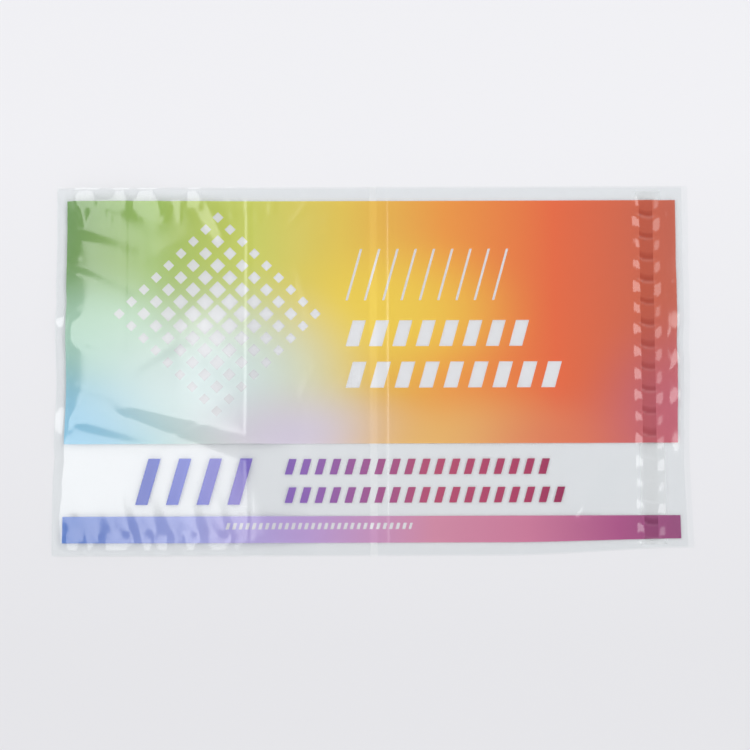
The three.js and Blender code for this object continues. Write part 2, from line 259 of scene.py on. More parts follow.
# Sharp small creases in the film, finer than the CAD model has them
crinkles = {
    "seed": 7,
    "lean": 0.5,  # how unlike the two flanks of one may be
    # how many, a box from the fold and the centre line, lengths, half-widths, heights and directions
    "zones": [
        {"count": 14, "u": (6, 90), "v": (-80, 80), "length": (20, 50), "half": (3, 7),
         "height": (0.02, 0.1), "turn": (-30, 30)},
        {"count": 40, "u": (4, 150), "v": (-88, -80), "length": (4, 12), "half": (0.7, 2.0),
         "height": (0.05, 0.2), "turn": (55, 125)},
        {"count": 40, "u": (0.5, 12), "v": (-88, 88), "length": (4, 14), "half": (0.7, 1.8),
         "height": (0.05, 0.2), "turn": (-25, 35)},
        {"count": 24, "u": (10, 110), "v": (74, 88), "length": (3, 12), "half": (0.7, 2.0),
         "height": (0.05, 0.2), "turn": (60, 120)},
        {"count": 46, "u": (292, 303), "v": (-86, 86), "length": (3, 12), "half": (0.8, 2.4),
         "height": (0.05, 0.25), "turn": (0, 180)},
        {"count": 26, "u": (110, 275), "v": (-88, 88), "length": (10, 34), "half": (0.9, 2.2),
         "height": (0.02, 0.08), "turn": (40, 110)},
    ],
}


def crinkleHeight(u, v):
    dice = np.random.default_rng(crinkles["seed"])
    total = np.zeros_like(u)
    for zone in crinkles["zones"]:
        for _ in range(zone["count"]):
            middleU = foldU + dice.uniform(*zone["u"])
            middleV = dice.uniform(*zone["v"])
            turn = math.radians(dice.uniform(*zone["turn"]))
            halfLength = dice.uniform(*zone["length"]) / 2
            half = dice.uniform(*zone["half"])
            height = dice.uniform(*zone["height"])
            lean = dice.uniform(-crinkles["lean"], crinkles["lean"])
            along = (u - middleU) * math.cos(turn) + (v - middleV) * math.sin(turn)
            across = (v - middleV) * math.cos(turn) - (u - middleU) * math.sin(turn)
            side = across / half - lean
            slope = np.where(side > 0, side / (1 - lean), -side / (1 + lean))
            total += height * np.clip(1 - slope, 0, 1) * np.clip(1 - (along / halfLength) ** 2, 0, 1)
    return total


calmWaves = [(0.1, 23, 31, 0), (0.035, 11, -17, 1.3)]  # height, lengths along and across the bag, and start


def calmWave(u, v):
    return sum(height * np.sin(u / along + v / across + start) for height, along, across, start in calmWaves)


def largeForms(u, v):  # what both panels share: the climb, the ridges and the gathers
    total = climbHeight(u, v)
    for buckle in buckles + pleats:
        total += ridgeHeight(u, v, *buckle)
    for gather in gathers["sides"]:
        total += gatherHeight(u, v, gather)
    return total


backPanel = {
    "share": 0.42,  # of the front panel's forms
    "uneven": (0.8, 0.2, 9),  # even part of that share, varying part, and over what length along the bag
    "drift": (1.7, 14),
    "edgeFade": (0.5, 6),  # from the fold and the welds
    "tapeFade": (12, 3),  # from the liner's near edge
}


def backRise(u, v):  # how far the back panel is off the surface under it
    even, varying, length = backPanel["uneven"]
    drift, driftLength = backPanel["drift"]
    wave = np.sin(u / length + drift * np.sin(v / driftLength))
    rise = backPanel["share"] * largeForms(u, v) * (even + varying * wave)
    start, end = backPanel["tapeFade"]
    ends = smoothstep(u - foldU, *backPanel["edgeFade"]) * (1 - smoothstep(u, linerNearU - start, linerNearU - end))
    return rise * (ends * smoothstep(innerV - np.abs(v), *backPanel["edgeFade"]))


# Flat facets where the front panel stands up beside a weld or the fold, finer than the CAD model has them
facets = {
    "rise": 1.2,  # instead of the film's own rise at the weld
    "besideWeld": {  # by side of the bag: middle from the fold and half-width
        1: [(13.7, 6.8), (30.5, 5), (43, 6.6), (65.6, 5)],
        -1: [(9.5, 4.6), (18, 2.6), (30.5, 8), (45.2, 3), (52.4, 4.4), (65.7, 3.6), (78.8, 5.8), (88, 2.6)],
    },
    "weldReach": (7.5, 12),  # how far from the weld a facet is level, and where it ends
    "weldSteepness": 3,
    "besideFold": [(23.3, 4.4), (-24.5, 9)],  # place across the bag and half-width
    "foldMiddle": 3,  # from the fold
    "foldReach": (4, 6.5),
    "foldSteepness": 2,
}


def looseGap(u, v):  # before the welds hold it down
    total = film["calmGap"] + calmWave(u, v) + lipHeight(u, v) + largeForms(u, v) + crinkleHeight(u, v)
    for fromFold, height in creases["lines"]:
        total += height * np.maximum(0, 1 - np.abs(u - foldU - fromFold) / creases["run"])
    return total


def facetShare(offset, half, steepness):  # 1 over the middle of a facet and 0 outside it
    return np.clip(steepness - steepness * np.abs(offset) / half, 0, 1)


def flattened(loose, middle, share):  # holds a facet at the height of its middle
    level = looseGap(*(np.array([float(place)]) for place in middle))[0]
    return loose + (level - loose) * share


def gapAt(u, v):  # air gap under the front panel
    fromWeld = np.maximum(0, innerV - np.abs(v))
    fromFold = u - foldU
    rise = np.full_like(u, film["weldRise"])
    loose = looseGap(u, v)
    level, end = facets["weldReach"]
    for side, places in facets["besideWeld"].items():
        for place, half in places:
            share = facetShare(fromFold - place, half, facets["weldSteepness"]) * (side * v > 0)
            rise += (facets["rise"] - rise) * share
            middle = (foldU + place, side * (innerV - level))
            loose = flattened(loose, middle, share * (1 - smoothstep(fromWeld, level, end)))
    for place, half in facets["besideFold"]:
        share = facetShare(v - place, half, facets["foldSteepness"])
        share = share * (1 - smoothstep(fromFold, *facets["foldReach"]))
        loose = flattened(loose, (foldU + facets["foldMiddle"], place), share)
    loose *= 1 - (1 - np.minimum(1, fromWeld / rise)) ** 2
    outside = np.maximum(np.maximum(linerNearU - u, u - linerFarU), 0)
    fromEnd = np.minimum(1, fromWeld / tape["rise"])
    taped = loose + (tapeStack * fromEnd - loose) * np.maximum(0, 1 - outside / tape["flank"])
    return taped + puckerHeight(u, v) * fromEnd


def outline(u, v):  # where a place on the flat web lies once the edges are tucked and dented
    tuck = smoothstep(u, mouthU - film["tuck"]["run"], mouthU)
    tuck = tuck * smoothstep(-v, edgeV - film["tuck"]["band"], edgeV)
    atFold = 1 - smoothstep(u - foldU, 0, film["dentReach"])
    atLip = 1 - smoothstep(mouthU - u, 0, film["dentReach"])
    foldDent, lipDent = (sum(depth * bell(v - place, spread) for place, depth, spread in film[dents])
                         for dents in ("foldDents", "lipDents"))
    return u + atFold * foldDent - atLip * lipDent, v + tuck * film["tuck"]["depth"]


filmMesh = {  # steps of the fine mesh
    "crumpledReach": 104,  # from the fold
    "crumpledStep": 1.0,
    "calmStep": 1.75,
    "tapedStep": 0.85,
    "tapedReach": 4,  # from the liner's near edge
    "acrossStep": 1.2,
    "backAcross": 3.4,
    "loopSteps": 4,
    "sharpAngle": 50,
}


def finished(name, mesh):  # smooth but for its sharp edges, and in the scene
    mesh.polygons.foreach_set("use_smooth", np.ones(len(mesh.polygons), bool))
    mesh.set_sharp_from_angle(angle=math.radians(filmMesh["sharpAngle"]))
    mesh.update()
    piece = bpy.data.objects.new(name, mesh)
    bpy.context.scene.collection.objects.link(piece)
    return piece


class Web:  # places on the film web and the faces between their rows
    def __init__(self):
        self.flat, self.heights, self.faces, self.slots = [], [], [], []
        self.count = 0

    def rows(self, us, vs, heights):  # a grid of indices for arrays of u, v and height
        us, vs = np.broadcast_arrays(us, vs)
        first = self.count
        self.flat.append(np.stack([us.ravel(), vs.ravel()], 1))
        self.heights.append(np.broadcast_to(heights, us.shape).ravel())
        self.count += us.size
        return np.arange(first, self.count).reshape(us.shape)

    def row(self, us, vs, heights):  # the same for a single row
        return self.rows(np.broadcast_to(us, (1, len(vs))), vs[None, :], heights)[0]

    def face(self, corners, slot):
        self.faces.append(corners)
        self.slots.append(slot)

    def grid(self, index, facing, slot=0):
        for a, b, c, d in zip(index[:-1, :-1].ravel().tolist(), index[1:, :-1].ravel().tolist(),
                              index[1:, 1:].ravel().tolist(), index[:-1, 1:].ravel().tolist()):
            self.face((a, b, c, d) if facing > 0 else (d, c, b, a), slot)

    def strip(self, first, firstKeys, second, secondKeys, turned=False):  # triangles between two rows
        i, j = 0, 0
        while i < len(first) - 1 or j < len(second) - 1:
            nextFirst = firstKeys[i + 1] if i < len(first) - 1 else math.inf
            nextSecond = secondKeys[j + 1] if j < len(second) - 1 else math.inf
            if nextFirst <= nextSecond:
                corners = (first[i], second[j], first[i + 1])
                i += 1
            else:
                corners = (first[i], second[j], second[j + 1])
                j += 1
            self.face(tuple(int(c) for c in (corners[::-1] if turned else corners)), 0)

    def merged(self):  # one point for each place, in its final position, and its flat place
        flat = np.concatenate(self.flat)
        x, y = outline(flat[:, 0], flat[:, 1])
        points = np.stack([x, y, np.concatenate(self.heights)], 1)
        _, first, inverse = np.unique(np.round(points, 4), axis=0, return_index=True, return_inverse=True)
        inverse = inverse.ravel()
        faces, slots = [], []
        for corners, slot in zip(self.faces, self.slots):
            ring = list(dict.fromkeys(int(inverse[c]) for c in corners))
            if len(ring) > 2:
                faces.append(ring)
                slots.append(slot)
        # The third value is the pucker share, which the ink reads to lighten its painted shade over the tape on the
        # crests
        flatPlace = np.concatenate([flat, puckerShare(*flat.T)[:, None]], 1)
        return points[first], faces, flatPlace[first], slots


def stepped(borders, stepAt):  # even steps from each border to the next
    values = [borders[0]]
    for low, high in zip(borders[:-1], borders[1:]):
        count = max(1, round((high - low) / stepAt((low + high) / 2)))
        values += [low + (high - low) * n / count for n in range(1, count + 1)]
    return np.array(values)


def makeFilm():
    def stepAlong(u):
        if u > linerNearU - filmMesh["tapedReach"]:
            return filmMesh["tapedStep"]
        return filmMesh["crumpledStep"] if u < foldU + filmMesh["crumpledReach"] else filmMesh["calmStep"]

    outside, inside = puckers["nearFlank"]
    borders = {foldU, lipU, linerNearU - tape["flank"], linerNearU - outside, linerNearU + inside, linerFarU,
               linerFarU + tape["flank"]}
    for fromFold, _ in creases["lines"]:
        borders |= {foldU + fromFold + d * creases["run"] for d in (-1, 0, 1)}
    along = stepped(sorted(borders), stepAlong)
    across = stepped([-edgeV, -innerV, innerV, edgeV], lambda v: filmMesh["acrossStep"])
    coarse = stepped([-innerV, innerV], lambda v: filmMesh["backAcross"])
    wide = np.array([-edgeV, *coarse, edgeV])
    wall = film["wall"]
    web = Web()

    # The front panel's two faces and the back panel's upper one
    gap = gapAt(*np.meshgrid(along, across, indexing="ij"))
    inner = slice(1, -1)  # between the welds, which are one step wide
    top = web.rows(along[:, None], across[None, :], 2 * wall + gap)
    under = web.rows(along[:, None], across[None, inner], wall + gap[:, inner])
    web.grid(top, 1, slot=1)
    web.grid(under, -1)

    insideV = across[inner]
    lifted = backRise(*np.meshgrid(along, coarse, indexing="ij"))
    backFirst = web.row(foldU, insideV, wall)
    backRest = web.rows(along[1:, None], coarse[None, :], wall + lifted[1:])
    web.strip(backFirst, insideV, backRest[0], coarse)
    for k in range(len(backRest) - 1):
        web.strip(backRest[k], coarse, backRest[k + 1], coarse)

    # The back panel's margin outside the front lip, and its underside
    lipStart = web.row(lipU, wide, wall)
    lipEnd = web.row(mouthU, across, wall)
    web.strip(lipStart, wide, lipEnd, across)

    lowFirst = web.row(foldU, across, 0.0)
    lowRest = web.rows(along[1:, None], wide[None, :], np.pad(lifted[1:], ((0, 0), (1, 1))))
    lowEnd = web.row(mouthU, across, 0.0)
    web.strip(lowFirst, across, lowRest[0], wide, turned=True)
    for k in range(len(lowRest) - 1):
        web.strip(lowRest[k], wide, lowRest[k + 1], wide, turned=True)
    web.strip(lowRest[-1], wide, lowEnd, across, turned=True)

    # The loop at the fold, outside and inside
    turns = filmMesh["loopSteps"]
    outer, innerLoop = [top[0]], [under[0]]
    for n in range(1, turns):
        swing = math.sin(math.pi * n / turns)
        share = 1 - n / turns
        outer.append(web.row(foldU - film["foldLoop"] * swing, across, (2 * wall + gap[:1]) * share))
        openShare = np.minimum(1, gap[:1, inner] / (2 * wall))
        innerLoop.append(web.row(foldU - openShare * (film["foldLoop"] - wall) * swing, insideV,
                                 wall + gap[:1, inner] * share))
    outer.append(lowFirst)
    innerLoop.append(backFirst)
    for high, low in zip(outer[:-1], outer[1:]):
        web.strip(low, across, high, across)
    for high, low in zip(innerLoop[:-1], innerLoop[1:]):
        web.strip(high, insideV, low, insideV)

    # The walls' cut ends at the lip, the mouth and the two welded sides
    web.strip(top[-1], across, np.array([lipStart[0], *under[-1], lipStart[-1]]), across)
    web.strip(lipEnd, across, lowEnd, across)

    for side in (0, -1):
        turned = side == -1
        upper = np.array([*top[:, side], lipStart[side]])
        upperKeys = np.array([*along, lipU])
        lower = np.array([lowFirst[side], *lowRest[:, side]])
        web.strip(upper, upperKeys, lower, along, turned)
        lipSide = np.array([lipStart[side], lipEnd[side]])
        lowSide = np.array([lowRest[-1, side], lowEnd[side]])
        web.strip(lipSide, [lipU, mouthU], lowSide, [lipU, mouthU], turned)
        for n in range(1, turns):
            corners = (int(outer[n - 1][side]), int(outer[n][side]), int(lowFirst[side]))
            web.face(corners[::-1] if turned else corners, 0)

    points, faces, flatPlace, slots = web.merged()
    mesh = bpy.data.meshes.new("film_web")
    mesh.from_pydata((points * mm).tolist(), [], faces)
    mesh.attributes.new("flatPlace", "FLOAT_VECTOR", "POINT").data.foreach_set(
        "vector", flatPlace.astype(np.float32).ravel())
    mesh.polygons.foreach_set("material_index", slots)
    return finished("film_web", mesh)


filmPiece = makeFilm()
print("film web made:", len(filmPiece.data.polygons), "faces")


# The tape's two strips, whose puckers a node tree repeats along them
stripInputs = {
    "Float": ["Length", "Width", "Wall", "Place", "Middle height", "Pucker pitch", "Pucker height", "Pucker arc",
              "Pucker width"],
    "Int": ["Steps along", "Steps across"],
    "Material": ["Material"],
}


def stripTree():
    tree = bpy.data.node_groups.new("puckered strip", "GeometryNodeTree")
    sockets = {}
    for kind, names in stripInputs.items():
        for name in names:
            made = tree.interface.new_socket(name, in_out="INPUT", socket_type="NodeSocket" + kind)
            sockets[name] = made.identifier
    tree.interface.new_socket("Geometry", in_out="OUTPUT", socket_type="NodeSocketGeometry")
    given = add(tree, "NodeGroupInput").node.outputs
    size = add(tree, "ShaderNodeCombineXYZ", {0: given["Width"], 1: given["Length"], 2: given["Wall"]})
    slab = add(tree, "GeometryNodeMeshCube", {
        "Size": size, "Vertices X": given["Steps across"], "Vertices Y": given["Steps along"], "Vertices Z": 2})
    place = add(tree, "ShaderNodeSeparateXYZ", {0: add(tree, "GeometryNodeInputPosition")}).node.outputs
    across = add(tree, "ShaderNodeMath", {0: place["X"], 1: given["Pucker width"]}, operation="DIVIDE")
    bowed = add(tree, "ShaderNodeMath", {0: across, 1: across}, operation="MULTIPLY", use_clamp=True)
    bow = add(tree, "ShaderNodeMath", {0: bowed, 1: given["Pucker arc"], 2: place["Y"]}, operation="MULTIPLY_ADD")
    turns = add(tree, "ShaderNodeMath", {0: bow, 1: given["Pucker pitch"]}, operation="DIVIDE")
    angle = add(tree, "ShaderNodeMath", {0: turns, 1: 2 * math.pi, 2: 2 * math.pi * puckers["linerPhase"]},
                operation="MULTIPLY_ADD")
    wave = add(tree, "ShaderNodeMath", {0: angle}, operation="COSINE")
    share = add(tree, "ShaderNodeMath", {0: wave, 1: 0.5, 2: 0.5}, operation="MULTIPLY_ADD")
    lift = add(tree, "ShaderNodeMath", {0: share, 1: given["Pucker height"], 2: given["Middle height"]},
               operation="MULTIPLY_ADD")
    offset = add(tree, "ShaderNodeCombineXYZ", {0: given["Place"], 2: lift})
    raised = add(tree, "GeometryNodeSetPosition", {"Geometry": slab, "Offset": offset})
    real = add(tree, "GeometryNodeRealizeInstances", {"Geometry": raised})
    dressed = add(tree, "GeometryNodeSetMaterial", {"Geometry": real, "Material": given["Material"]})
    add(tree, "NodeGroupOutput", {"Geometry": dressed})
    return tree, sockets


def makeStrip(name, tree, sockets, sizes, material):
    holder = bpy.data.objects.new(name + "_tree", bpy.data.meshes.new(name + "_tree"))
    bpy.context.scene.collection.objects.link(holder)
    modifier = holder.modifiers.new("strip", "NODES")
    modifier.node_group = tree
    for socket, value in {**sizes, "Material": material}.items():
        modifier[sockets[socket]] = value
    bpy.context.view_layer.update()
    mesh = bpy.data.meshes.new_from_object(holder.evaluated_get(bpy.context.evaluated_depsgraph_get()))
    bpy.data.objects.remove(holder)
    places = np.zeros(len(mesh.vertices) * 3, np.float32)
    mesh.vertices.foreach_get("co", places)
    places = places.reshape(-1, 3).astype(float)
    x, y = outline(places[:, 0] / mm, places[:, 1] / mm)
    places[:, 0], places[:, 1] = x * mm, y * mm
    mesh.vertices.foreach_set("co", places.astype(np.float32).ravel())
    return finished(name, mesh)


# Film and ink. Blown polyethylene is clear and glossy, with a faint haze that greys what lies behind it
filmLook = {
    "tint": (0.988, 0.9925, 0.9925, 1.0),  # let through at each of the two faces of a wall
    "haze": 0.005,
    "hazeColour": "#eef1f4",
    "ior": 1.5,
    "roughness": 0.13,
    "gloss": 1.6,  # both sides of a wall mirror, and only its upper face is drawn as glossy
    "backGloss": 0.3,  # the back panel lies on what is under it and mirrors less
    "mostGloss": 0.4,  # a limp film is never flat enough to mirror more, even seen along its face
    "mottle": 0.9,  # mm between the faint dimples of the film
    "mottleDepth": 0.0003,
}
# Flexographic ink on the outside of the front panel, thin enough to let some light through
inkLook = {
    "cover": 0.85,  # share of the light that the ink itself scatters
    "fieldStops": [(0.0, "#75a05f"), (0.14, "#9dc05f"), (0.3, "#d1d862"), (0.45, "#eece55"),
                   (0.62, "#faa145"), (0.8, "#f47042"), (1.0, "#ce6852")],
    "washes": [  # middle, reach and strength of each soft patch
        {"at": (10, 28), "reach": (50, 30), "colour": "#ffe250", "strength": 0.7},
        {"at": (-150, -34), "reach": (80, 50), "colour": "#94cde8", "strength": 1.0},
        {"at": (-134, 20), "reach": (36, 24), "colour": "#c0e6d2", "strength": 0.65},
        {"at": (-72, -4), "reach": (56, 40), "colour": "#dfeff1", "strength": 0.9},
        {"at": (-36, -34), "reach": (50, 24), "colour": "#dfd6e9", "strength": 0.95},
        {"at": (42, -38), "reach": (54, 24), "colour": "#f4c474", "strength": 0.85},
        {"at": (96, -38), "reach": (50, 24), "colour": "#ea7c5e", "strength": 0.75},
        {"at": (150, -26), "reach": (40, 44), "colour": "#cb697f", "strength": 0.85},
    ],
    "bandStops": [(0.0, "#5f83cd"), (0.2, "#a0a9e4"), (0.4, "#c2a2d9"), (0.6, "#dc92ad"),
                  (0.75, "#d681a2"), (0.9, "#b4588d"), (1.0, "#9d5281")],
    "washFade": 1.6,  # of a patch's reach, where it ends
    "throughGamma": 0.5,  # what passes through a colour is paler than it
    "white": {"colour": "#fdfdff", "cover": 0.5},  # a thin white in the marks left out of the colour; it is also painted light, brightening the shade the ink casts on the floor under them
    "drawnGamma": 2.0,  # the marks on clear film are in stronger ink
    # Painted shade: the ink is drawn darker where it lies over the adhesive, and less so where a pucker lifts off, so
    # dark arcs run between the puckers
    "shadeOverAdhesive": {"gamma": 1.25, "share": 0.78, "liftedFrom": 0.5, "liftedShare": 0.5},
}
printArea = {
    "foldMargin": 4.8,
    "mouthMargin": 6.2,
    "fieldTopMargin": 7,
    "fieldHeight": 117.5,
    "bandBottomMargin": 6.4,
    "bandHeight": 12.6,
}
printStart, printEnd = foldU + printArea["foldMargin"], mouthU - printArea["mouthMargin"]
fieldTopV = edgeV - printArea["fieldTopMargin"]
fieldBottomV = fieldTopV - printArea["fieldHeight"]
bandBottomV = -edgeV + printArea["bandBottomMargin"]
bandTopV = bandBottomV + printArea["bandHeight"]

# Rows of slanted dashes: first and last place along the bag, middle and height across it, the share of the
# pitch that a dash takes, and whether it is left out of the colour or drawn on clear film
dashRows = [
    {"from": -13, "to": 66, "at": 46, "height": 25, "pitch": 8.8, "share": 0.13, "bare": True},
    {"from": -13, "to": 76, "at": 17.5, "height": 12.5, "pitch": 11.2, "share": 0.56, "bare": True},
    {"from": -13, "to": 92, "at": -2.5, "height": 12.5, "pitch": 11.7, "share": 0.56, "bare": True},
    {"from": -113, "to": -55, "at": -53.5, "height": 22, "pitch": 14.6, "share": 0.4, "bare": False},
    {"from": -42, "to": 85, "at": -46.5, "height": 7.4, "pitch": 7.1, "share": 0.5, "bare": False},
    {"from": -42, "to": 91, "at": -60, "height": 7.4, "pitch": 7.1, "share": 0.5, "bare": False},
    {"from": -70, "to": 18, "at": -74.7, "height": 3, "pitch": 3.1, "share": 0.5, "bare": True},
]
dashSlant = 0.28
# A lattice of bare diamonds that shrink from the middle of their patch outwards
lattice = {"at": (-74.5, 27), "turn": math.radians(45), "pitch": 8.3, "reach": 4.6, "largest": 0.4,
           "smallest": 0.2, "round": 0.05}


def newMaterial(name):
    material = bpy.data.materials.new(name)
    material.use_nodes = True
    material.node_tree.nodes.clear()
    return material, material.node_tree


def box(tree, u, v, lowU, highU, lowV, highV):  # 1 inside a rectangle of the flat web
    along = add(tree, "ShaderNodeMath", {0: u, 1: (lowU + highU) / 2, 2: (highU - lowU) / 2}, operation="COMPARE")
    across = add(tree, "ShaderNodeMath", {0: v, 1: (lowV + highV) / 2, 2: (highV - lowV) / 2}, operation="COMPARE")
    return add(tree, "ShaderNodeMath", {0: along, 1: across}, operation="MULTIPLY")


def dashes(tree, u, v, row):
    low, high = row["at"] - row["height"] / 2, row["at"] + row["height"] / 2
    offset = add(tree, "ShaderNodeMath", {0: v, 1: -dashSlant, 2: dashSlant * low}, operation="MULTIPLY_ADD")
    leaned = add(tree, "ShaderNodeMath", {0: u, 1: offset}, operation="ADD")
    turns = add(tree, "ShaderNodeMath", {0: leaned, 1: 1 / row["pitch"], 2: -row["from"] / row["pitch"]},
                operation="MULTIPLY_ADD")
    part = add(tree, "ShaderNodeMath", {0: turns}, operation="FRACT")
    on = add(tree, "ShaderNodeMath", {0: part, 1: row["share"]}, operation="LESS_THAN")
    within = box(tree, leaned, v, row["from"], row["to"], low, high)
    return add(tree, "ShaderNodeMath", {0: on, 1: within}, operation="MULTIPLY")


def diamonds(tree, flatPlace):
    middle = Matrix.Rotation(lattice["turn"], 3, "Z") @ Vector((*lattice["at"], 0)) / lattice["pitch"]
    turned = add(tree, "ShaderNodeMapping", {
        0: flatPlace, "Rotation": (0, 0, lattice["turn"]), "Scale": (1 / lattice["pitch"],) * 3,
        "Location": (0.5 - middle.x, 0.5 - middle.y, 0)})
    cell = add(tree, "ShaderNodeVectorMath", {0: turned}, operation="FLOOR")
    away = add(tree, "ShaderNodeSeparateXYZ", {
        0: add(tree, "ShaderNodeVectorMath", {0: cell}, operation="ABSOLUTE")}).node.outputs
    rings = add(tree, "ShaderNodeMath", {0: away["X"], 1: away["Y"]}, operation="MAXIMUM")
    size = add(tree, "ShaderNodeMapRange", {
        "Value": rings, "From Min": 0, "From Max": lattice["reach"],
        "To Min": lattice["largest"], "To Max": lattice["smallest"]})
    part = add(tree, "ShaderNodeVectorMath", {0: turned}, operation="FRACTION")
    offCentre = add(tree, "ShaderNodeVectorMath", {0: part, 1: (0.5, 0.5, 0.5)}, operation="SUBTRACT")
    spot = add(tree, "ShaderNodeSeparateXYZ", {
        0: add(tree, "ShaderNodeVectorMath", {0: offCentre}, operation="ABSOLUTE")}).node.outputs
    reach = add(tree, "ShaderNodeMath", {0: spot["X"], 1: spot["Y"], 2: lattice["round"]}, operation="SMOOTH_MAX")
    inside = add(tree, "ShaderNodeMath", {0: reach, 1: size}, operation="LESS_THAN")
    near = add(tree, "ShaderNodeMath", {0: rings, 1: lattice["reach"] - 0.5}, operation="LESS_THAN")
    return add(tree, "ShaderNodeMath", {0: inside, 1: near}, operation="MULTIPLY")


def washOver(tree, colour, u, v, wash):
    along = add(tree, "ShaderNodeMath", {0: u, 1: 1 / wash["reach"][0], 2: -wash["at"][0] / wash["reach"][0]},
                operation="MULTIPLY_ADD")
    across = add(tree, "ShaderNodeMath", {0: v, 1: 1 / wash["reach"][1], 2: -wash["at"][1] / wash["reach"][1]},
                 operation="MULTIPLY_ADD")
    apart = add(tree, "ShaderNodeVectorMath", {0: add(tree, "ShaderNodeCombineXYZ", {0: along, 1: across})},
                operation="LENGTH").node.outputs["Value"]
    near = add(tree, "ShaderNodeMapRange", {
        "Value": apart, "From Min": 0, "From Max": inkLook["washFade"], "To Min": wash["strength"], "To Max": 0},
        interpolation_type="SMOOTHERSTEP")
    return add(tree, "ShaderNodeMix", {"Factor": near, "A": colour, "B": linear(wash["colour"])},
               data_type="RGBA").node.outputs[2]


def glossed(tree, body, look, normal):  # a glossy face over what the body lets through
    mirrored = add(tree, "ShaderNodeFresnel", {"IOR": look["ior"], "Normal": normal})
    behind = add(tree, "ShaderNodeNewGeometry").node.outputs["Backfacing"]
    front = add(tree, "ShaderNodeMath", {0: behind, 1: -look["gloss"], 2: look["gloss"]},
                operation="MULTIPLY_ADD")
    share = add(tree, "ShaderNodeMath", {0: mirrored, 1: front}, operation="MULTIPLY")
    share = add(tree, "ShaderNodeMath", {0: share, 1: filmLook["mostGloss"]}, operation="MINIMUM", use_clamp=True)
    gloss = add(tree, "ShaderNodeBsdfGlossy", {
        "Color": (1, 1, 1, 1), "Roughness": look["roughness"], "Normal": normal})
    mixed = add(tree, "ShaderNodeMixShader", {0: share, 1: body, 2: gloss})
    add(tree, "ShaderNodeOutputMaterial", {"Surface": mixed})


def filmGrain(tree):
    place = add(tree, "ShaderNodeTexCoord").node.outputs["Object"]
    dimples = add(tree, "ShaderNodeTexNoise", {
        "Vector": place, "Scale": 1 / (filmLook["mottle"] * mm), "Detail": 2.0, "Roughness": 0.5})
    return add(tree, "ShaderNodeBump", {
        "Strength": 1.0, "Distance": filmLook["mottleDepth"] * mm, "Height": dimples})


def hazyBody(tree, look):  # lets light through and scatters a little of it
    through = add(tree, "ShaderNodeBsdfTransparent", {"Color": look["tint"]})
    haze = add(tree, "ShaderNodeBsdfDiffuse", {"Color": linear(look["hazeColour"])})
    return add(tree, "ShaderNodeMixShader", {0: look["haze"], 1: through, 2: haze})


def plainFilm(name, look):
    material, tree = newMaterial(name)
    glossed(tree, hazyBody(tree, look), look, filmGrain(tree))
    return material


